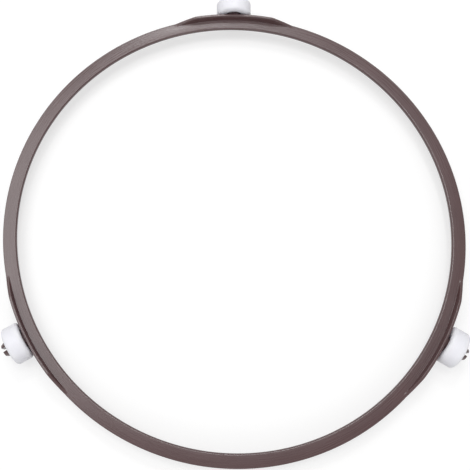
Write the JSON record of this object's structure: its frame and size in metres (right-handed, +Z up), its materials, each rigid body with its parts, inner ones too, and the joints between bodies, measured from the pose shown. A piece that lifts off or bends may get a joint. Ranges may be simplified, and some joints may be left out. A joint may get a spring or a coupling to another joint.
{
  "type": "microwave roller ring",
  "caption": "Flat moulded ring with upstanding ears, each with a split snap axle and a free-turning roller, which carries a microwave oven's turning glass tray.",
  "frame": {"origin": "on the ring's axis, level with the floor that the rollers stand on", "axes": "+Z up along the ring's axis; +Y from the axis towards the rear roller; +X to the right"},
  "size_m": [0.19, 0.1996, 0.0152],
  "materials": {
    "ring_plastic": "warm grey-brown moulded plastic, satin",
    "roller_plastic": "white moulded plastic, smooth"
  },
  "bodies": {
    "ring": {"support_ring": "ring_plastic"},
    "rear_roller": {"roller_rear": "roller_plastic"},
    "left_roller": {"roller_left": "roller_plastic"},
    "right_roller": {"roller_right": "roller_plastic"}
  },
  "joints": [
    {"name": "rear_roller_spin", "type": "hinge", "parent": "ring", "child": "rear_roller", "pos_m": [0, 0.0988, 0.0076], "axis": [0, 1, 0], "continuous": true},
    {"name": "left_roller_spin", "type": "hinge", "parent": "ring", "child": "left_roller", "pos_m": [-0.08556, -0.0494, 0.0076], "axis": [-0.866, -0.5, 0], "continuous": true},
    {"name": "right_roller_spin", "type": "hinge", "parent": "ring", "child": "right_roller", "pos_m": [0.08556, -0.0494, 0.0076], "axis": [0.866, -0.5, 0], "continuous": true}
  ]
}
